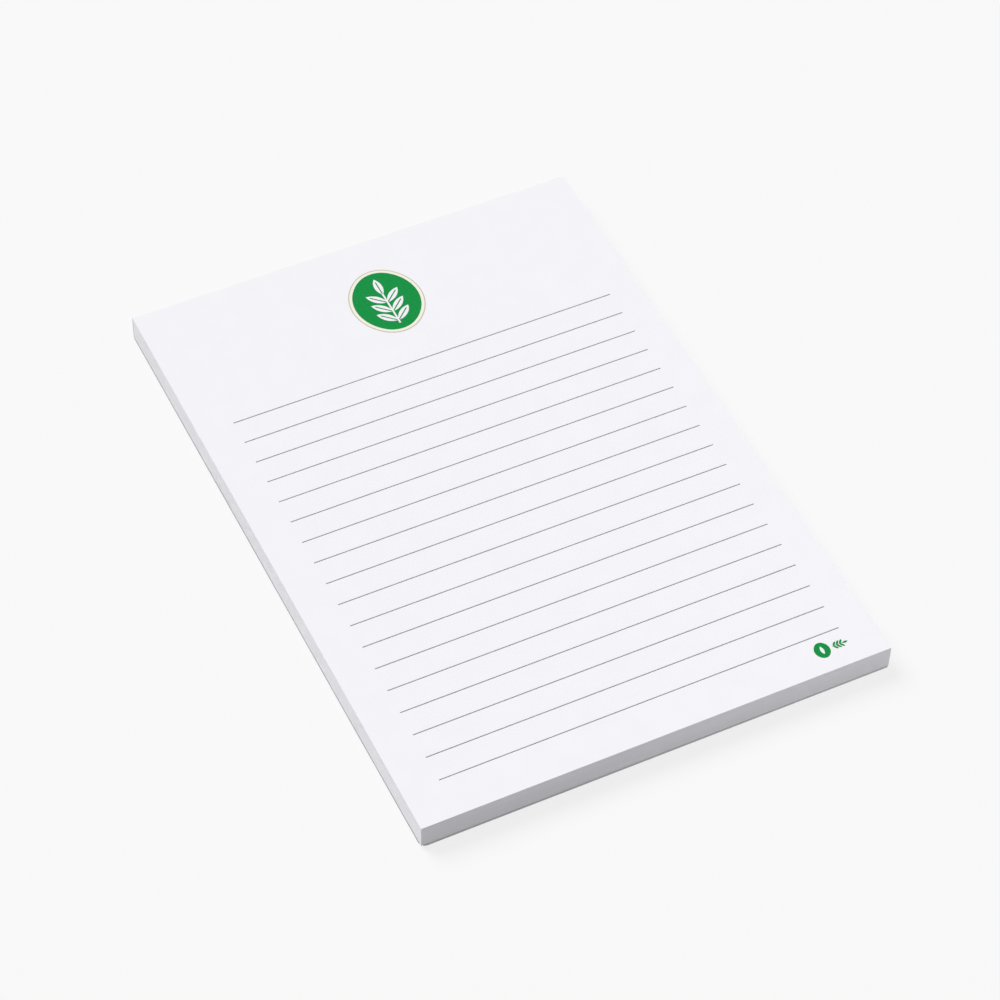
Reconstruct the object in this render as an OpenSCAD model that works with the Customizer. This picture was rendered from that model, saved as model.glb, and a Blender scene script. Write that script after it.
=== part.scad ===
// Writing pad: ruled A5 sheets, gummed along the head onto a greyboard back.
// It lies face up. X runs across the sheet, +Y points to the head and Z = 0 is the table.
// All sizes are in millimetres.

/* [Sheets] */
// Width of a sheet
sheet_w = 148; // [105:1:210]
// Length of a sheet, from head to foot
sheet_l = 210; // [148:1:297]
// Thickness of one sheet
sheet_t = 0.1; // [0.07:0.01:0.15]
// Number of sheets in the pad
sheet_count = 80; // [25:1:100]
// Furthest that a sheet sits back from the trim line on its three open sides
trim_jog = 0.06; // [0.01:0.01:0.12]

/* [Back board] */
// Thickness of the greyboard
board_t = 1; // [0.5:0.1:2.5]

/* [Head glue] */
// Thickness of the glue film at its crown
glue_t = 0.35; // [0.25:0.05:0.8]
// Thickness of the glue film where it thins out at the top sheet and the board
glue_edge_t = 0.15; // [0.05:0.01:0.2]

/* [Ruling] */
// Distance from one ruled line to the next
line_pitch = 8.51; // [5:0.01:12]
// Width of a ruled line
line_w = 0.28; // [0.15:0.01:0.6]
// Bare paper to the left of the lines
left_margin = 11.4; // [5:0.1:25]
// Bare paper to the right of the lines
right_margin = 10.1; // [5:0.1:25]
// Bare paper between the head ornament and the first line
header_gap = 12.7; // [4:0.1:30]
// Least bare paper between the last line and the foot ornament
footer_gap = 1.5; // [0.5:0.1:10]
// Thickness of the printed ink, heavier than a press lays it so that it shows as a solid
ink_t = 0.04; // [0.02:0.01:0.08]

/* [Head ornament] */
// Width of the oval, over its outline
oval_w = 23.4; // [20:0.2:25]
// Height of the oval, over its outline
oval_h = 27.4; // [26:0.2:32]
// Radius of the oval at its top and bottom
oval_end_r = 9.6; // [8:0.1:9.8]
// Bare paper above the oval
oval_drop = 12.4; // [6:0.1:25]
// Width of the outline
outline_w = 0.35; // [0.2:0.05:0.6]
// Width of the pale band inside the outline
band_w = 0.9; // [0.5:0.1:1.5]
// Green left between the field's edge and the sprig's two ends
sprig_inset = 2.4; // [2:0.1:4]
// Width of the sprig's stem
stem_w = 0.6; // [0.4:0.05:1]
// Length of bare stem below the lowest leaves
stem_foot = 1.2; // [0.6:0.1:3]
// Length of a leaf
leaf_l = 7.2; // [5:0.1:8]
// Width of a leaf
leaf_w = 2.6; // [1.5:0.1:3.4]
// Width of the rib down the middle of a leaf
rib_w = 0.35; // [0.2:0.05:0.6]
// Length of that rib, from the leaf's foot
rib_l = 5.8; // [3:0.1:7]

/* [Foot ornament] */
// Height of the small oval
foot_oval_h = 5.6; // [4:0.1:7]
// Bare paper below the small oval
foot_rise = 4.8; // [3:0.1:8]
// Length of the leaf left bare in the small oval
foot_leaf_l = 3; // [2:0.1:4]
// Length of the small sprig that lies beside the oval
foot_sprig_l = 5; // [3:0.1:8]
// Gap between the small oval and the small sprig
foot_gap = 0.9; // [0.4:0.1:3]

/* [Hidden] */
// Steps round a circle, and round the much larger circle of the glue's crown
$fn = 128;
crown_fn = 720;

// Heights, from the table up
block_t = sheet_count * sheet_t;
pad_t = board_t + block_t;

// The sheets' trimmed outline, centred on the origin
left_x = -sheet_w / 2;
right_x = sheet_w / 2;
foot_y = -sheet_l / 2;
head_y = sheet_l / 2;

// Degrees that the rule for a sheet's edge turns from one sheet to the next, for each open side
left_turn = 137.5;
right_turn = 75.3;
foot_turn = 99.1;

// Ruling, which runs from below the head ornament to above the foot ornament
line_l = sheet_w - left_margin - right_margin;
first_line_y = head_y - oval_drop - oval_h - header_gap;
last_line_limit = foot_y + foot_rise + foot_oval_h + footer_gap;
line_count = floor((first_line_y - last_line_limit) / line_pitch) + 1;

// Head ornament: leaves stand in pairs on the stem, below one leaf at its tip
oval_y = head_y - oval_drop - oval_h / 2;
field_inset = outline_w + band_w;
leaf_pairs = 3;
leaf_angle = 48;
sprig_l = oval_h - 2 * field_inset - 2 * sprig_inset;
stem_l = sprig_l - leaf_l + stem_w;
pair_pitch = (stem_l - stem_foot) / leaf_pairs;

// Foot ornament: the head ornament's oval and sprig again, scaled down, ending under the lines' ends
foot_scale = foot_oval_h / oval_h;
foot_leaf_scale = foot_leaf_l / leaf_l;
foot_sprig_scale = foot_sprig_l / sprig_l;
foot_y_mid = foot_y + foot_rise + foot_oval_h / 2;
foot_sprig_x = right_x - right_margin - foot_sprig_l / 2;
foot_oval_x = foot_sprig_x - foot_sprig_l / 2 - foot_gap - oval_w * foot_scale / 2;

paper_white = "#F5F4F9";
board_grey = "#C9C8C8";
glue_white = "#F1F0EB";
line_grey = "#808086";
print_green = "#1E9248";
band_cream = "#F4F3E4";
outline_tan = "#D0C4B4";

// How far a sheet's edge sits back from the trim line, by a wave too quick to show as one
function jog(sheet, turn) = trim_jog * (1 - cos(sheet * turn)) / 2;

// One sheet, knocked up to the head and a hair short of the trim line on the other three sides
module sheet(index) {
    left = jog(index, left_turn);
    right = jog(index, right_turn);
    foot = jog(index, foot_turn);
    translate([left_x + left, foot_y + foot, board_t + index * sheet_t])
        cube([sheet_w - left - right, sheet_l - foot, sheet_t]);
}

// The pad's leaves, pressed together as one block
module sheet_block() {
    color(paper_white)
        for (index = [0 : sheet_count - 1]) sheet(index);
}

// Greyboard back, trimmed to the sheets' own size
module backing_board() {
    color(board_grey)
        translate([left_x, foot_y, 0])
            cube([sheet_w, sheet_l, board_t]);
}

// Section of the glue film: flat against the stack, crowned on the outside
module glue_section() {
    crown = glue_t - glue_edge_t;
    crown_r = (pow(pad_t / 2, 2) + pow(crown, 2)) / (2 * crown);
    intersection() {
        square([glue_t, pad_t]);
        translate([glue_t - crown_r, pad_t / 2]) circle(crown_r, $fn = crown_fn);
    }
}

// Padding glue brushed over the whole head face, which holds every sheet and the board
module head_glue() {
    color(glue_white)
        translate([left_x, head_y, 0])
            rotate([90, 0, 90])
                linear_extrude(sheet_w) glue_section();
}

// A print of the given outline, lying on the top sheet
module ink(tint) {
    color(tint)
        translate([0, 0, pad_t])
            linear_extrude(ink_t) children();
}

// Four-centred oval, set in from the ornament's outer edge: two end arcs run into two side arcs
module oval(inset) {
    half_w = oval_w / 2;
    half_h = oval_h / 2;
    side_r = (pow(half_w, 2) + pow(half_h, 2) - 2 * half_h * oval_end_r) / (2 * (half_w - oval_end_r));
    side_x = side_r - half_w;
    end_y = half_h - oval_end_r;
    arc_change_y = end_y * (side_r - inset) / (side_r - oval_end_r);
    intersection() {
        translate([-side_x, 0]) circle(side_r - inset);
        translate([side_x, 0]) circle(side_r - inset);
        square([2 * oval_w, 2 * arc_change_y], center = true);
    }
    for (side = [-1, 1])
        translate([0, side * end_y]) circle(oval_end_r - inset);
}

// One leaf with its foot at the origin, pointing along +Y: the space that two circles share
module leaf(ribbed) {
    arc_r = (pow(leaf_l, 2) + pow(leaf_w, 2)) / (4 * leaf_w);
    difference() {
        translate([0, leaf_l / 2])
            intersection() {
                translate([arc_r - leaf_w / 2, 0]) circle(arc_r);
                translate([leaf_w / 2 - arc_r, 0]) circle(arc_r);
            }
        if (ribbed) translate([-rib_w / 2, 0]) square([rib_w, rib_l]);
    }
}

// Upright sprig centred on the origin: a stem, its pairs of leaves and the leaf that grows over its tip
module sprig(ribbed) {
    translate([0, -sprig_l / 2]) {
        translate([-stem_w / 2, 0]) square([stem_w, stem_l]);
        for (pair = [0 : leaf_pairs - 1], side = [-1, 1])
            translate([0, stem_foot + pair * pair_pitch])
                rotate(side * leaf_angle) leaf(ribbed);
        translate([0, sprig_l - leaf_l]) leaf(ribbed);
    }
}

// Grey writing lines
module ruled_lines() {
    ink(line_grey)
        for (line = [0 : line_count - 1])
            translate([left_x + left_margin, first_line_y - line * line_pitch - line_w / 2])
                square([line_l, line_w]);
}

// Green field of the head ornament, with the sprig left as bare paper
module ornament_field() {
    ink(print_green)
        translate([0, oval_y])
            difference() {
                oval(field_inset);
                sprig(ribbed = true);
            }
}

// Pale band round the field
module ornament_band() {
    ink(band_cream)
        translate([0, oval_y])
            difference() {
                oval(outline_w);
                oval(field_inset);
            }
}

// Thin outline round the band
module ornament_outline() {
    ink(outline_tan)
        translate([0, oval_y])
            difference() {
                oval(0);
                oval(outline_w);
            }
}

// Small oval with one bare leaf, and a small sprig lying beside it, both too small for ribs
module foot_ornament() {
    ink(print_green) {
        translate([foot_oval_x, foot_y_mid])
            difference() {
                scale(foot_scale) oval(0);
                translate([0, -foot_leaf_l / 2]) scale(foot_leaf_scale) leaf(ribbed = false);
            }
        translate([foot_sprig_x, foot_y_mid])
            rotate(-90) scale(foot_sprig_scale) sprig(ribbed = false);
    }
}

sheet_block();
backing_board();
head_glue();
ruled_lines();
ornament_field();
ornament_band();
ornament_outline();
foot_ornament();
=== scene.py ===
"""Looks of a gummed writing pad: its leaves, greyboard back, padding glue, inks and a plain studio."""

import math

import bmesh
import bpy
from bpy.props import FloatProperty, FloatVectorProperty, IntProperty, PointerProperty
from mathutils import Matrix, Vector, noise


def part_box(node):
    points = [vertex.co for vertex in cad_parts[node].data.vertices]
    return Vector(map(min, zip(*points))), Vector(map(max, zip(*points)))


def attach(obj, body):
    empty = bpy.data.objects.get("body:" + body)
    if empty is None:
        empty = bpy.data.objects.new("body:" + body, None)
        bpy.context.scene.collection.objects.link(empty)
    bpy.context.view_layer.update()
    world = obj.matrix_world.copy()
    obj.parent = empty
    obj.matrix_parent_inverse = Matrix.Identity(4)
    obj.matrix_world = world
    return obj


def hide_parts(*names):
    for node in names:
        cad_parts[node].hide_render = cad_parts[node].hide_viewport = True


bl_info = {
    "name": "Writing Pad",
    "version": (1, 0, 0),
    "blender": (4, 5, 0),
    "location": "3D Viewport > Sidebar > Writing Pad",
    "description": "Dresses a gummed writing pad with its leaves, board, glue and print",
    "category": "Object",
}

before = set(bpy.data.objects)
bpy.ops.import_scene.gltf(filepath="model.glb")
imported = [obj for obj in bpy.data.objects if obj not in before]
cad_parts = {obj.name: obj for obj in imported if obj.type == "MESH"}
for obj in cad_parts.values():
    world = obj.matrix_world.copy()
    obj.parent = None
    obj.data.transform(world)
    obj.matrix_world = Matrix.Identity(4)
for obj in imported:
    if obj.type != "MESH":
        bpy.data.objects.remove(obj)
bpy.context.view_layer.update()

MM = 0.001
BODY = "root"

# Turn from one face to the next past which the edge between them is sharp
SHARP_ANGLE = math.radians(40)

# Typical refractive indices
CELLULOSE_IOR = 1.47
GLUE_IOR = 1.47
INK_IOR = 1.5

# Sockets whose names repeat on their node, so that they are reached by number
MIX_SHARE = 0
MIX_FIRST = 6
MIX_SECOND = 7
MIX_RESULT = 2
SHADER_SHARE = 0
SHADER_FIRST = 1
SHADER_SECOND = 2
MATH_FIRST = 0
MATH_SECOND = 1


def linear(hex_colour):
    """An sRGB hex colour as the linear colour that shaders use, with full alpha."""
    channels = [int(hex_colour[i : i + 2], 16) / 255 for i in (0, 2, 4)]
    return (*((c / 12.92 if c <= 0.04045 else ((c + 0.055) / 1.055) ** 2.4) for c in channels), 1.0)


def colour_property(name, description, hex_colour):
    """A colour that a user can change, with its default from an sRGB hex value."""
    return FloatVectorProperty(
        name=name,
        description=description,
        subtype="COLOR",
        size=4,
        min=0,
        max=1,
        default=linear(hex_colour),
    )


def length_property(name, description, millimetres):
    """A length that a user can change, with its default from millimetres."""
    return FloatProperty(
        name=name,
        description=description,
        unit="LENGTH",
        precision=6,
        min=0,
        default=millimetres * MM,
    )


def angle_property(name, description, degrees):
    """An angle that a user can change, with its default from degrees."""
    return FloatProperty(
        name=name, description=description, subtype="ANGLE", default=math.radians(degrees)
    )


class LeafSettings(bpy.types.PropertyGroup):
    """Sizes and colours of the stack of leaves."""

    count: IntProperty(name="Leaves", description="Leaves in the stack", min=2, default=80)
    trim_jog: length_property("Trim jog", "Furthest that a leaf sits back from the trim line", 0.06)
    groove: length_property("Groove", "Depth of the fine gap between two leaves' cut edges", 0.05)
    ease: length_property("Ease", "How much the knife rounds over a leaf's cut edge", 0.018)
    wave: length_property("Wave", "How far the leaves' edges rise and fall along a side", 0.06)
    wave_length: length_property("Wave length", "Length of that rise and fall", 38)
    spacing: length_property("Spacing", "Distance between points along a leaf's edge", 3)
    face_colour: colour_property("Paper", "Face of a leaf", "F6F5FA")
    edge_colour: colour_property("Cut edge", "Cut edges of the leaves", "F3F2F6")


class BoardSettings(bpy.types.PropertyGroup):
    """Sizes and colours of the greyboard back."""

    corner: length_property("Corner", "Rounding of the board's upright corners", 0.5)
    worn_corner: length_property(
        "Worn corner", "Rounding of the foot's left corner, which is worn", 2.2
    )
    ease: length_property("Ease", "Rounding of the board's cut edges", 0.12)
    colour: colour_property("Greyboard", "Main tone of the pulp", "C8C7C9")
    dark_fleck: colour_property("Dark fleck", "Inked fibres in the recycled pulp", "9A999B")
    pale_fleck: colour_property("Pale fleck", "Clean fibres in the recycled pulp", "DCDBDC")


class GlueSettings(bpy.types.PropertyGroup):
    """Sizes and colours of the padding glue along the head."""

    edge_t: length_property("Edge", "Thickness of the film where it thins out", 0.12)
    crown_t: length_property("Crown", "Thickness of the film in the middle", 0.31)
    ridge: length_property("Ridge", "Height of the ridges that the brush left", 0.035)
    ridge_w: length_property("Ridge width", "Width of such a ridge", 0.5)
    ridge_l: length_property("Ridge length", "Length over which a ridge changes", 14)
    ragged: length_property("Ragged edge", "Furthest that the film stops short of the faces", 0.2)
    colour: colour_property("Glue", "Dried padding glue", "F1F0EB")


class InkSettings(bpy.types.PropertyGroup):
    """Colours of the printed inks."""

    grey: colour_property("Grey ink", "Ruled lines", "8C8C92")
    green: colour_property("Green ink", "Fields of the ornaments", "068F41")
    cream: colour_property("Cream ink", "Band round the head ornament", "F4F3E4")
    tan: colour_property("Tan ink", "Outline of the head ornament", "D0C4B4")


class StageSettings(bpy.types.PropertyGroup):
    """Camera, lamps and floor."""

    aim: FloatVectorProperty(
        name="Aim",
        description="Point on the floor that the camera looks at",
        subtype="TRANSLATION",
        unit="LENGTH",
        default=(0.15 * MM, -1.49 * MM, 0),
    )
    azimuth: angle_property("Azimuth", "Camera's turn about the pad", -27.032)
    elevation: angle_property("Elevation", "Camera's height above the floor", 49.864)
    roll: angle_property("Roll", "Camera's turn about its own axis", 1.612)
    distance: length_property("Distance", "Camera's distance from the aim", 1050.65)
    lens: FloatProperty(
        name="Lens", description="Focal length on a 36 mm sensor", unit="CAMERA", default=126.951
    )
    ambient: FloatProperty(
        name="Ambient", description="Strength of the light from all around", default=0.3
    )
    key: FloatProperty(name="Key", description="Strength of the soft lamp overhead", default=2.74)
    fill: FloatProperty(
        name="Fill", description="Power of the low lamp in front", unit="POWER", default=2.5
    )
    backdrop: colour_property("Backdrop", "Floor and background as the camera sees them", "F9F9F9")
    floor_bounce: colour_property("Floor bounce", "Floor as the pad is lit by it", "A0A0A0")
    shadow: FloatProperty(
        name="Shadow",
        description="Share of the pad's shadow that shows on the floor",
        subtype="FACTOR",
        min=0,
        max=1,
        default=0.16,
    )


class PadSettings(bpy.types.PropertyGroup):
    """All settings of the writing pad."""

    leaves: PointerProperty(type=LeafSettings)
    board: PointerProperty(type=BoardSettings)
    glue: PointerProperty(type=GlueSettings)
    inks: PointerProperty(type=InkSettings)
    stage: PointerProperty(type=StageSettings)


def add_node(tree, kind, inputs=None, **settings):
    """Add a node with its settings. Each input is a value, or the socket that feeds it."""
    node = tree.nodes.new(kind)
    for name, value in settings.items():
        setattr(node, name, value)
    for name, value in (inputs or {}).items():
        if isinstance(value, bpy.types.NodeSocket):
            tree.links.new(value, node.inputs[name])
        else:
            node.inputs[name].default_value = value
    return node


def start_material(name):
    """A new material with an empty node tree."""
    material = bpy.data.materials.new(name)
    material.use_nodes = True
    material.node_tree.nodes.clear()
    return material, material.node_tree


def per_mm(size_mm):
    """Texture scale at which a pattern's features are about this many millimetres across."""
    return 1 / (size_mm * MM)


def paper_face(colour):
    """Uncoated offset paper, machine finished: dull white, faintly cloudy, with a fine felted fibre."""
    cloud_mm = 9
    # A single fibre is too fine to show, so the felt is drawn in tufts of many.
    tuft_mm = 0.35
    tuft_height_mm = 0.01
    material, tree = start_material("uncoated_paper_face")
    place = add_node(tree, "ShaderNodeTexCoord").outputs["Object"]
    cloud = add_node(
        tree, "ShaderNodeTexNoise", {"Vector": place, "Scale": per_mm(cloud_mm), "Detail": 3}
    )
    tuft = add_node(
        tree,
        "ShaderNodeTexNoise",
        {"Vector": place, "Scale": per_mm(tuft_mm), "Detail": 4, "Roughness": 0.65},
    )
    tone = add_node(
        tree,
        "ShaderNodeMapRange",
        {
            "Value": cloud.outputs["Fac"],
            "From Min": 0.3,
            "From Max": 0.7,
            "To Min": 0.988,
            "To Max": 1.004,
        },
    )
    tint = add_node(
        tree,
        "ShaderNodeMix",
        {MIX_SHARE: 1.0, MIX_FIRST: colour, MIX_SECOND: tone.outputs["Result"]},
        data_type="RGBA",
        blend_type="MULTIPLY",
    )
    rough = add_node(
        tree, "ShaderNodeMapRange", {"Value": tuft.outputs["Fac"], "To Min": 0.8, "To Max": 0.95}
    )
    bump = add_node(
        tree,
        "ShaderNodeBump",
        {"Height": tuft.outputs["Fac"], "Strength": 0.25, "Distance": tuft_height_mm * MM},
    )
    surface = add_node(
        tree,
        "ShaderNodeBsdfPrincipled",
        {
            "Base Color": tint.outputs[MIX_RESULT],
            "Roughness": rough.outputs["Result"],
            "Normal": bump.outputs["Normal"],
            "IOR": CELLULOSE_IOR,
            "Specular IOR Level": 0.3,
        },
    )
    add_node(tree, "ShaderNodeOutputMaterial", {"Surface": surface.outputs["BSDF"]})
    return material


def paper_edge(colour):
    """Guillotined edges of a paper stack: fibre ends, with faint streaks that run along the leaves."""
    # A leaf is too thin to show by itself from a step away, so a streak is some six leaves high.
    streak_l_mm = 45
    streak_h_mm = 0.6
    # A fibre's end is too fine to show as well, so the ends are drawn in tufts of many.
    tuft_mm = 0.25
    tuft_height_mm = 0.015
    material, tree = start_material("guillotined_paper_edge")
    place = add_node(tree, "ShaderNodeTexCoord").outputs["Object"]
    layers = add_node(
        tree,
        "ShaderNodeMapping",
        {
            "Vector": place,
            "Scale": (per_mm(streak_l_mm), per_mm(streak_l_mm), per_mm(streak_h_mm)),
        },
    )
    streak = add_node(
        tree, "ShaderNodeTexNoise", {"Vector": layers.outputs["Vector"], "Scale": 1, "Detail": 4}
    )
    tuft = add_node(
        tree,
        "ShaderNodeTexNoise",
        {"Vector": place, "Scale": per_mm(tuft_mm), "Detail": 3, "Roughness": 0.6},
    )
    tone = add_node(
        tree,
        "ShaderNodeMapRange",
        {
            "Value": streak.outputs["Fac"],
            "From Min": 0.25,
            "From Max": 0.75,
            "To Min": 0.95,
            "To Max": 1.02,
        },
    )
    tint = add_node(
        tree,
        "ShaderNodeMix",
        {MIX_SHARE: 1.0, MIX_FIRST: colour, MIX_SECOND: tone.outputs["Result"]},
        data_type="RGBA",
        blend_type="MULTIPLY",
    )
    bump = add_node(
        tree,
        "ShaderNodeBump",
        {"Height": tuft.outputs["Fac"], "Strength": 0.3, "Distance": tuft_height_mm * MM},
    )
    surface = add_node(
        tree,
        "ShaderNodeBsdfPrincipled",
        {
            "Base Color": tint.outputs[MIX_RESULT],
            "Roughness": 0.95,
            "Normal": bump.outputs["Normal"],
            "IOR": CELLULOSE_IOR,
            "Specular IOR Level": 0.06,
        },
    )
    add_node(tree, "ShaderNodeOutputMaterial", {"Surface": surface.outputs["BSDF"]})
    return material


def greyboard(colour, dark, pale):
    """Greyboard pressed from recycled pulp: dull grey, with dark flecks of ink and pale clean clumps."""
    # The pulp lies along the way that the board ran through its machine.
    clump_w_mm = 3
    clump_l_mm = 9
    fleck_mm = 0.8
    fibre_mm = 0.5
    fibre_height_mm = 0.04
    material, tree = start_material("pressed_greyboard")
    place = add_node(tree, "ShaderNodeTexCoord").outputs["Object"]
    grain = add_node(
        tree,
        "ShaderNodeMapping",
        {
            "Vector": place,
            "Scale": (per_mm(clump_w_mm), per_mm(clump_l_mm), per_mm(clump_w_mm)),
        },
    )
    clump = add_node(
        tree, "ShaderNodeTexNoise", {"Vector": grain.outputs["Vector"], "Scale": 1, "Detail": 4}
    )
    fibre = add_node(
        tree,
        "ShaderNodeTexNoise",
        {"Vector": place, "Scale": per_mm(fibre_mm), "Detail": 5, "Roughness": 0.7},
    )
    fleck = add_node(
        tree, "ShaderNodeTexNoise", {"Vector": place, "Scale": per_mm(fleck_mm), "Distortion": 1.5}
    )
    dark_share = add_node(
        tree,
        "ShaderNodeMapRange",
        {"Value": fleck.outputs["Fac"], "From Min": 0.6, "From Max": 0.78, "To Max": 0.8},
    )
    pale_share = add_node(
        tree,
        "ShaderNodeMapRange",
        {"Value": clump.outputs["Fac"], "From Min": 0.45, "From Max": 0.75, "To Max": 0.6},
    )
    mottled = add_node(
        tree,
        "ShaderNodeMix",
        {MIX_SHARE: pale_share.outputs["Result"], MIX_FIRST: colour, MIX_SECOND: pale},
        data_type="RGBA",
    )
    flecked = add_node(
        tree,
        "ShaderNodeMix",
        {
            MIX_SHARE: dark_share.outputs["Result"],
            MIX_FIRST: mottled.outputs[MIX_RESULT],
            MIX_SECOND: dark,
        },
        data_type="RGBA",
    )
    bump = add_node(
        tree,
        "ShaderNodeBump",
        {"Height": fibre.outputs["Fac"], "Strength": 0.5, "Distance": fibre_height_mm * MM},
    )
    surface = add_node(
        tree,
        "ShaderNodeBsdfPrincipled",
        {
            "Base Color": flecked.outputs[MIX_RESULT],
            "Roughness": 0.92,
            "Normal": bump.outputs["Normal"],
            "IOR": CELLULOSE_IOR,
            "Specular IOR Level": 0.25,
        },
    )
    add_node(tree, "ShaderNodeOutputMaterial", {"Surface": surface.outputs["BSDF"]})
    return material


def padding_glue(colour):
    """White padding glue, brushed on and dried: milky and rubbery, with a soft shine on brush marks."""
    bristle_l_mm = 16
    bristle_w_mm = 0.22
    bristle_height_mm = 0.03
    run_l_mm = 30
    run_w_mm = 1.1
    # Neither pattern changes much through the film, which is thinner than this.
    through_mm = 1
    material, tree = start_material("brushed_padding_glue")
    place = add_node(tree, "ShaderNodeTexCoord").outputs["Object"]
    strokes = add_node(
        tree,
        "ShaderNodeMapping",
        {
            "Vector": place,
            "Scale": (per_mm(bristle_l_mm), per_mm(through_mm), per_mm(bristle_w_mm)),
        },
    )
    bristle = add_node(
        tree, "ShaderNodeTexNoise", {"Vector": strokes.outputs["Vector"], "Scale": 1, "Detail": 4}
    )
    runs = add_node(
        tree,
        "ShaderNodeMapping",
        {"Vector": place, "Scale": (per_mm(run_l_mm), per_mm(through_mm), per_mm(run_w_mm))},
    )
    thin = add_node(
        tree, "ShaderNodeTexNoise", {"Vector": runs.outputs["Vector"], "Scale": 1, "Detail": 3}
    )
    tone = add_node(
        tree,
        "ShaderNodeMapRange",
        {
            "Value": thin.outputs["Fac"],
            "From Min": 0.3,
            "From Max": 0.7,
            "To Min": 0.96,
            "To Max": 1.01,
        },
    )
    tint = add_node(
        tree,
        "ShaderNodeMix",
        {MIX_SHARE: 1.0, MIX_FIRST: colour, MIX_SECOND: tone.outputs["Result"]},
        data_type="RGBA",
        blend_type="MULTIPLY",
    )
    rough = add_node(
        tree, "ShaderNodeMapRange", {"Value": bristle.outputs["Fac"], "To Min": 0.32, "To Max": 0.55}
    )
    bump = add_node(
        tree,
        "ShaderNodeBump",
        {"Height": bristle.outputs["Fac"], "Strength": 0.4, "Distance": bristle_height_mm * MM},
    )
    surface = add_node(
        tree,
        "ShaderNodeBsdfPrincipled",
        {
            "Base Color": tint.outputs[MIX_RESULT],
            "Roughness": rough.outputs["Result"],
            "Normal": bump.outputs["Normal"],
            "IOR": GLUE_IOR,
        },
    )
    add_node(tree, "ShaderNodeOutputMaterial", {"Surface": surface.outputs["BSDF"]})
    return material


def offset_ink(name, colour, paper):
    """Offset ink soaked into uncoated paper: dull, a little mottled where the sheet took less of it."""
    mottle_mm = 0.6
    material, tree = start_material(name)
    place = add_node(tree, "ShaderNodeTexCoord").outputs["Object"]
    mottle = add_node(
        tree,
        "ShaderNodeTexNoise",
        {"Vector": place, "Scale": per_mm(mottle_mm), "Detail": 5, "Roughness": 0.7},
    )
    bare = add_node(
        tree,
        "ShaderNodeMapRange",
        {"Value": mottle.outputs["Fac"], "From Min": 0.45, "From Max": 0.8, "To Max": 0.035},
    )
    tint = add_node(
        tree,
        "ShaderNodeMix",
        {MIX_SHARE: bare.outputs["Result"], MIX_FIRST: colour, MIX_SECOND: paper},
        data_type="RGBA",
    )
    surface = add_node(
        tree,
        "ShaderNodeBsdfPrincipled",
        {
            "Base Color": tint.outputs[MIX_RESULT],
            "Roughness": 0.72,
            "IOR": INK_IOR,
            "Specular IOR Level": 0.08,
        },
    )
    add_node(tree, "ShaderNodeOutputMaterial", {"Surface": surface.outputs["BSDF"]})
    return material


def finish_piece(mesh, name, materials, node):
    """Make a piece of a finished bmesh, in the place of the CAD node that it stands for."""
    bmesh.ops.recalc_face_normals(mesh, faces=mesh.faces)
    data = bpy.data.meshes.new(name)
    mesh.to_mesh(data)
    mesh.free()
    for material in materials:
        data.materials.append(material)
    piece = bpy.data.objects.new(name, data)
    bpy.context.scene.collection.objects.link(piece)
    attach(piece, BODY)
    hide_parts(node)
    return piece


def new_edges(extruded):
    """The edges of an extrusion's far end."""
    return [item for item in extruded["geom"] if isinstance(item, bmesh.types.BMEdge)]


def verts_of(edges):
    """The vertices of some edges, each of them once."""
    return {vert for edge in edges for vert in edge.verts}


def shade_smooth(piece):
    """Shade a piece as smooth, apart from its sharp edges."""
    piece.data.polygons.foreach_set("use_smooth", [True] * len(piece.data.polygons))
    piece.data.set_sharp_from_angle(angle=SHARP_ANGLE)


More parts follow.
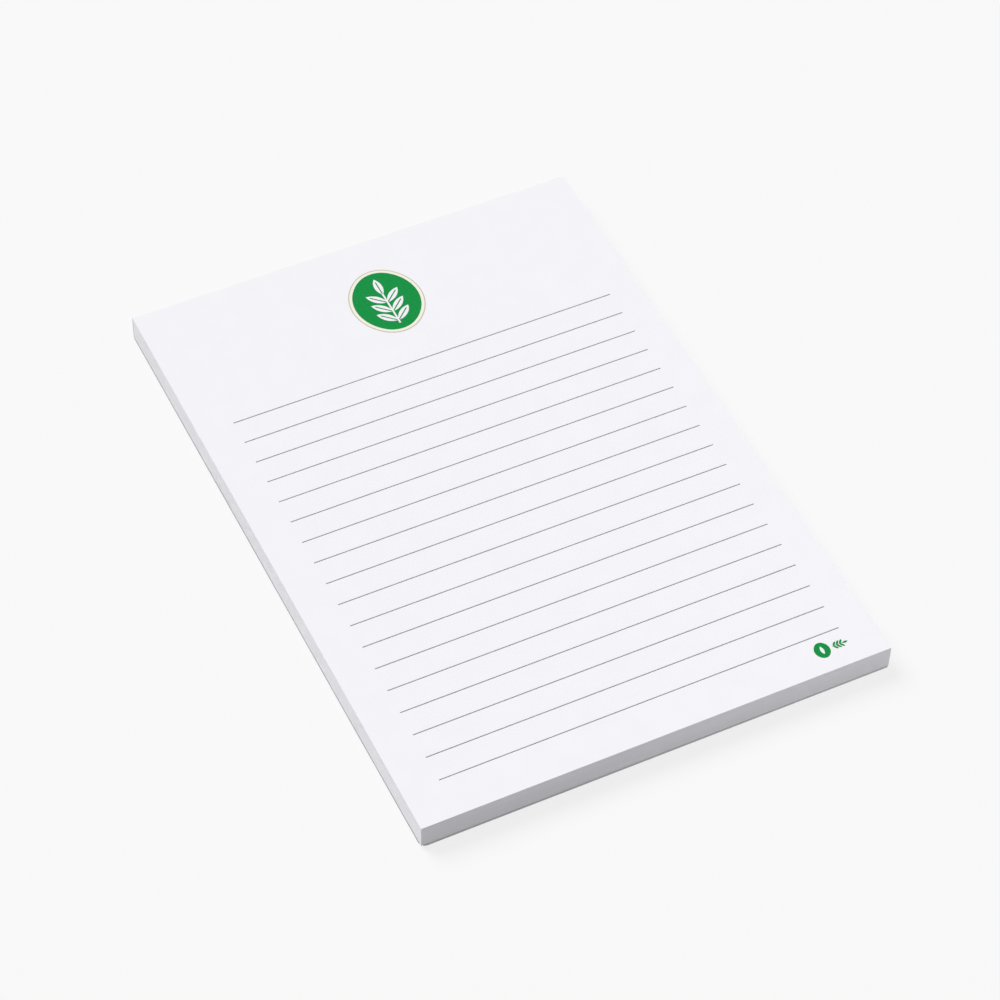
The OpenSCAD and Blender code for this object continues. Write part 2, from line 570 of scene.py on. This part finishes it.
class WRITING_PAD_OT_leaves(bpy.types.Operator):
    """Build the stack of leaves, with the fine gaps that show along its three open sides"""

    bl_idname = "writing_pad.leaves"
    bl_label = "Leaves"

    # Degrees that the rule for a leaf's edge turns from one leaf to the next, for each open side
    LEFT_TURN = 137.5
    RIGHT_TURN = 75.3
    FOOT_TURN = 99.1

    def execute(self, context):
        sizes = context.scene.writing_pad.leaves
        low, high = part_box("sheet_block")
        leaf_t = (high.z - low.z) / sizes.count
        mesh = bmesh.new()
        home = mesh.verts.layers.float_vector.new("home")
        ring = self.outline(mesh, home, low, high, sizes.spacing)
        # Each ring is the leaf that it belongs to, its height and how far it is set in.
        rings = []
        for leaf in range(sizes.count):
            foot_z = low.z + leaf * leaf_t
            rings.append((leaf, foot_z, sizes.groove))
            rings.append((leaf, foot_z + sizes.ease, 0))
            rings.append((leaf, foot_z + leaf_t - sizes.ease, 0))
        rings.append((sizes.count - 1, high.z, sizes.ease))
        self.place_ring(ring, home, sizes, low, high, *rings[0])
        bottom = bmesh.ops.contextual_create(mesh, geom=ring)["faces"]
        for leaf, height, inset in rings[1:]:
            ring = new_edges(bmesh.ops.extrude_edge_only(mesh, edges=ring))
            self.place_ring(ring, home, sizes, low, high, leaf, height, inset)
        top = bmesh.ops.contextual_create(mesh, geom=ring)["faces"]
        mesh.verts.layers.float_vector.remove(home)
        flat = {*bottom, *top}
        for face in mesh.faces:
            face.material_index = 0 if face in flat else 1
        materials = [paper_face(sizes.face_colour), paper_edge(sizes.edge_colour)]
        finish_piece(mesh, "leaf_stack", materials, "sheet_block")
        return {"FINISHED"}

    def outline(self, mesh, home, low, high, spacing):
        """A leaf's outline as a ring of edges, with each point's place on the trim line kept in home."""
        face = bmesh.ops.create_grid(mesh, x_segments=1, y_segments=1, size=1)
        for vert in face["verts"]:
            vert.co = (
                low.x if vert.co.x < 0 else high.x,
                low.y if vert.co.y < 0 else high.y,
                low.z,
            )
        bmesh.ops.delete(mesh, geom=mesh.faces[:], context="FACES_ONLY")
        for edge in mesh.edges[:]:
            cuts = round(edge.calc_length() / spacing) - 1
            bmesh.ops.subdivide_edges(mesh, edges=[edge], cuts=cuts)
        for vert in mesh.verts:
            vert[home] = vert.co
        return mesh.edges[:]

    def place_ring(self, ring, home, sizes, low, high, leaf, height, inset):
        """Set a ring at its height and in by its leaf's jog, on the stack's slow rise and fall."""
        left, right, foot = (
            inset + sizes.trim_jog * (1 - math.cos(math.radians(leaf * turn))) / 2
            for turn in (self.LEFT_TURN, self.RIGHT_TURN, self.FOOT_TURN)
        )
        share = (height - low.z) / (high.z - low.z)
        swell = sizes.wave * math.sin(math.pi * share)
        for vert in verts_of(ring):
            place = vert[home]
            spot = Vector((place.x, place.y, 0)) / sizes.wave_length + Vector((0, 0, share))
            vert.co = (
                min(max(place.x, low.x + left), high.x - right),
                max(place.y, low.y + foot),
                height + swell * noise.noise(spot),
            )


class WRITING_PAD_OT_board(bpy.types.Operator):
    """Build the greyboard back, with its cut edges a little rounded and one corner worn"""

    bl_idname = "writing_pad.board"
    bl_label = "Backing board"

    # Faces round an upright corner, and over an eased edge
    CORNER_STEPS = 6
    EASE_STEPS = 3

    def execute(self, context):
        sizes = context.scene.writing_pad.board
        low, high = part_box("backing_board")
        mesh = bmesh.new()
        bmesh.ops.create_cube(mesh, size=1)
        bmesh.ops.scale(mesh, verts=mesh.verts, vec=high - low)
        bmesh.ops.translate(mesh, verts=mesh.verts, vec=(low + high) / 2)
        upright = [edge for edge in mesh.edges if edge.verts[0].co.z != edge.verts[1].co.z]
        worn = [edge for edge in upright if max(edge.verts[0].co.xy) < 0]
        sound = [edge for edge in upright if edge not in worn]
        self.round_over(mesh, sound, sizes.corner, self.CORNER_STEPS)
        self.round_over(mesh, worn, sizes.worn_corner, self.CORNER_STEPS)
        level = [edge for edge in mesh.edges if edge.verts[0].co.z == edge.verts[1].co.z]
        self.round_over(mesh, level, sizes.ease, self.EASE_STEPS)
        material = greyboard(sizes.colour, sizes.dark_fleck, sizes.pale_fleck)
        finish_piece(mesh, "greyboard_back", [material], "backing_board")
        return {"FINISHED"}

    def round_over(self, mesh, edges, radius, steps):
        """Round some of the board's edges."""
        bmesh.ops.bevel(
            mesh,
            geom=edges,
            offset=radius,
            affect="EDGES",
            segments=steps,
            profile=0.5,
            material=-1,
        )


class WRITING_PAD_OT_glue(bpy.types.Operator):
    """Build the film of padding glue over the head, with the ridges that the brush left"""

    bl_idname = "writing_pad.glue"
    bl_label = "Head glue"

    # Faces along the film and up it
    COLUMNS = 148
    ROWS = 72

    # Length over which each edge of the film wanders, and the row of the noise that it follows
    LOWER_EDGE = (9 * MM, 3)
    UPPER_EDGE = (7 * MM, 8)

    def execute(self, context):
        sizes = context.scene.writing_pad.glue
        low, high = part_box("head_glue")
        mesh = bmesh.new()
        bmesh.ops.create_grid(mesh, x_segments=self.COLUMNS, y_segments=self.ROWS, size=1)
        for vert in mesh.verts:
            vert.co = self.film_point(sizes, low, high, (vert.co.x + 1) / 2, (vert.co.y + 1) / 2)
        rim = [edge for edge in mesh.edges if edge.is_boundary]
        seat = new_edges(bmesh.ops.extrude_edge_only(mesh, edges=rim))
        for vert in verts_of(seat):
            vert.co.y = low.y
        bmesh.ops.contextual_create(mesh, geom=seat)
        material = padding_glue(sizes.colour)
        piece = finish_piece(mesh, "padding_glue_film", [material], "head_glue")
        shade_smooth(piece)
        return {"FINISHED"}

    def film_point(self, sizes, low, high, along, up):
        """A point of the film's outside, from its shares of the head's width and height."""
        x = low.x + along * (high.x - low.x)
        bottom = low.z + self.shortfall(sizes, x, *self.LOWER_EDGE)
        top = high.z - self.shortfall(sizes, x, *self.UPPER_EDGE)
        z = bottom + up * (top - bottom)
        crown = (sizes.crown_t - sizes.edge_t) * (1 - (2 * up - 1) ** 2)
        ridge = sizes.ridge * noise.noise(Vector((x / sizes.ridge_l, 0, z / sizes.ridge_w)))
        return (x, low.y + sizes.edge_t + crown + ridge, z)

    def shortfall(self, sizes, x, length, row):
        """How far an edge of the film stops short of the pad's face, at a place along the head."""
        return sizes.ragged * (0.5 + 0.5 * noise.noise(Vector((x / length, row, 0))))


class WRITING_PAD_OT_print(bpy.types.Operator):
    """Print the ruling and the two ornaments on the top leaf"""

    bl_idname = "writing_pad.print"
    bl_label = "Print"

    # Points of an ornament that lie closer than this become one
    WELD = 0.001 * MM

    def execute(self, context):
        inks = context.scene.writing_pad.inks
        paper = context.scene.writing_pad.leaves.face_colour
        green = offset_ink("offset_ink_green", inks.green, paper)
        grey = offset_ink("offset_ink_grey", inks.grey, paper)
        cream = offset_ink("offset_ink_cream", inks.cream, paper)
        tan = offset_ink("offset_ink_tan", inks.tan, paper)
        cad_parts["ruled_lines"].material_slots[0].material = grey
        self.film("ornament_field", "green_ink", green)
        self.film("ornament_band", "cream_ink", cream)
        self.film("ornament_outline", "tan_ink", tan)
        self.film("foot_ornament", "green_ink", green)
        return {"FINISHED"}

    def film(self, node, slot, ink):
        """An ornament's film of ink: its CAD solid, rid of edges too short to see where its arcs meet."""
        mesh = bmesh.new()
        mesh.from_mesh(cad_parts[node].data)
        bmesh.ops.remove_doubles(mesh, verts=mesh.verts, dist=self.WELD)
        piece = finish_piece(mesh, f"{node}_film", [ink], node)
        # The normals that came with the copy belong to its points before they were welded.
        copied_normals = piece.data.attributes.get("custom_normal")
        if copied_normals:
            piece.data.attributes.remove(copied_normals)
        shade_smooth(piece)


class WRITING_PAD_OT_stage(bpy.types.Operator):
    """Set up the floor, the lamps and the camera"""

    bl_idname = "writing_pad.stage"
    bl_label = "Stage"

    # Half the floor's side, the lamps' places and the low lamp's width, in metres
    FLOOR_HALF = 6.0
    KEY_PLACE = Vector((-1.16, 2.3, 3.08))
    FILL_PLACE = Vector((0.6, -0.6, 0.05))
    FILL_SIZE = 0.09

    # Angle that the soft lamp fills, seen from the pad
    KEY_SPREAD = math.radians(34)

    # Width of the camera's sensor, in millimetres
    SENSOR_W = 36

    def execute(self, context):
        stage = context.scene.writing_pad.stage
        floor = self.floor(stage)
        self.world(context.scene, stage)
        self.lamps(stage, floor)
        self.camera(context.scene, stage)
        context.scene.view_settings.view_transform = "Standard"
        return {"FINISHED"}

    def floor(self, stage):
        """A wide pale floor, which takes the pad's shadow."""
        mesh = bmesh.new()
        bmesh.ops.create_grid(mesh, x_segments=1, y_segments=1, size=self.FLOOR_HALF)
        data = bpy.data.meshes.new("floor")
        mesh.to_mesh(data)
        mesh.free()
        material, tree = start_material("studio_floor_paint")
        lit = add_node(tree, "ShaderNodeBsdfDiffuse", {"Color": stage.backdrop})
        plain = add_node(tree, "ShaderNodeEmission", {"Color": stage.backdrop, "Strength": 1})
        seen = add_node(
            tree,
            "ShaderNodeMixShader",
            {
                SHADER_SHARE: stage.shadow,
                SHADER_FIRST: plain.outputs["Emission"],
                SHADER_SECOND: lit.outputs["BSDF"],
            },
        )
        bounce = add_node(tree, "ShaderNodeBsdfDiffuse", {"Color": stage.floor_bounce})
        split = add_node(
            tree,
            "ShaderNodeMixShader",
            {
                SHADER_SHARE: self.looked_at(tree),
                SHADER_FIRST: bounce.outputs["BSDF"],
                SHADER_SECOND: seen.outputs["Shader"],
            },
        )
        add_node(tree, "ShaderNodeOutputMaterial", {"Surface": split.outputs["Shader"]})
        data.materials.append(material)
        floor = bpy.data.objects.new("floor", data)
        bpy.context.scene.collection.objects.link(floor)
        return floor

    def looked_at(self, tree):
        """One for rays that carry a view of the background, and zero for those that carry its light."""
        path = add_node(tree, "ShaderNodeLightPath").outputs
        direct = add_node(
            tree,
            "ShaderNodeMath",
            {MATH_FIRST: path["Is Camera Ray"], MATH_SECOND: path["Is Glossy Ray"]},
            operation="MAXIMUM",
        )
        every = add_node(
            tree,
            "ShaderNodeMath",
            {MATH_FIRST: direct.outputs["Value"], MATH_SECOND: path["Is Transmission Ray"]},
            operation="MAXIMUM",
        )
        return every.outputs["Value"]

    def world(self, scene, stage):
        """Even light from all around, which the camera sees as the backdrop."""
        scene.world = bpy.data.worlds.new("studio")
        scene.world.use_nodes = True
        tree = scene.world.node_tree
        tree.nodes.clear()
        light = add_node(
            tree, "ShaderNodeBackground", {"Color": linear("FFFFFF"), "Strength": stage.ambient}
        )
        plain = add_node(tree, "ShaderNodeBackground", {"Color": stage.backdrop, "Strength": 1})
        split = add_node(
            tree,
            "ShaderNodeMixShader",
            {
                SHADER_SHARE: self.looked_at(tree),
                SHADER_FIRST: light.outputs["Background"],
                SHADER_SECOND: plain.outputs["Background"],
            },
        )
        add_node(tree, "ShaderNodeOutputWorld", {"Surface": split.outputs["Shader"]})

    def lamps(self, stage, floor):
        """A soft lamp, high behind the pad on its left, and a small low one in front on its right."""
        key = bpy.data.lights.new("key", "SUN")
        key.energy = stage.key
        key.angle = self.KEY_SPREAD
        self.hang(key, self.KEY_PLACE)
        fill = bpy.data.lights.new("fill", "AREA")
        fill.energy = stage.fill
        fill.shape = "DISK"
        fill.size = self.FILL_SIZE
        holder = self.hang(fill, self.FILL_PLACE)
        # The low lamp is kept off the floor, where it would leave a bright patch.
        unlit = bpy.data.collections.new("kept_off_by_fill")
        unlit.objects.link(floor)
        unlit.collection_objects[0].light_linking.link_state = "EXCLUDE"
        holder.light_linking.receiver_collection = unlit

    def hang(self, lamp, place):
        """Put a lamp in its place, turned to the pad."""
        holder = bpy.data.objects.new(lamp.name, lamp)
        holder.location = place
        holder.rotation_euler = (-place).to_track_quat("-Z", "Y").to_euler()
        bpy.context.scene.collection.objects.link(holder)
        return holder

    def camera(self, scene, stage):
        """The camera, at the angle from which the pad is shown."""
        level = math.cos(stage.elevation)
        back = Vector((
            math.sin(stage.azimuth) * level,
            -math.cos(stage.azimuth) * level,
            math.sin(stage.elevation),
        ))
        data = bpy.data.cameras.new("camera")
        data.lens = stage.lens
        data.sensor_width = self.SENSOR_W
        camera = bpy.data.objects.new("camera", data)
        turn = (-back).to_track_quat("-Z", "Y").to_matrix().to_4x4()
        place = Matrix.Translation(Vector(stage.aim) + back * stage.distance)
        camera.matrix_world = place @ turn @ Matrix.Rotation(stage.roll, 4, "Z")
        scene.collection.objects.link(camera)
        scene.camera = camera


class WRITING_PAD_PT_panel(bpy.types.Panel):
    """The pad's settings and build steps, in the sidebar"""

    bl_label = "Writing Pad"
    bl_idname = "WRITING_PAD_PT_panel"
    bl_space_type = "VIEW_3D"
    bl_region_type = "UI"
    bl_category = "Writing Pad"

    def draw(self, context):
        pad = context.scene.writing_pad
        for operator, group in STEPS.items():
            box = self.layout.box()
            box.operator(operator.bl_idname)
            settings = getattr(pad, group)
            for name in settings.bl_rna.properties.keys():
                if name not in ("rna_type", "name"):
                    box.prop(settings, name)


# Each build step with the settings that it reads, in the order of building
STEPS = {
    WRITING_PAD_OT_leaves: "leaves",
    WRITING_PAD_OT_board: "board",
    WRITING_PAD_OT_glue: "glue",
    WRITING_PAD_OT_print: "inks",
    WRITING_PAD_OT_stage: "stage",
}

CLASSES = (
    LeafSettings,
    BoardSettings,
    GlueSettings,
    InkSettings,
    StageSettings,
    PadSettings,
    *STEPS,
    WRITING_PAD_PT_panel,
)


def register():
    """Add the settings, the build steps and the panel to Blender."""
    for cls in CLASSES:
        bpy.utils.register_class(cls)
    bpy.types.Scene.writing_pad = PointerProperty(type=PadSettings)


def unregister():
    """Remove the panel, the build steps and the settings from Blender."""
    del bpy.types.Scene.writing_pad
    for cls in reversed(CLASSES):
        bpy.utils.unregister_class(cls)


def main():
    """Dress the pad."""
    register()
    bpy.ops.writing_pad.leaves()
    bpy.ops.writing_pad.board()
    bpy.ops.writing_pad.glue()
    bpy.ops.writing_pad.print()
    bpy.ops.writing_pad.stage()


if __name__ == "__main__":
    main()
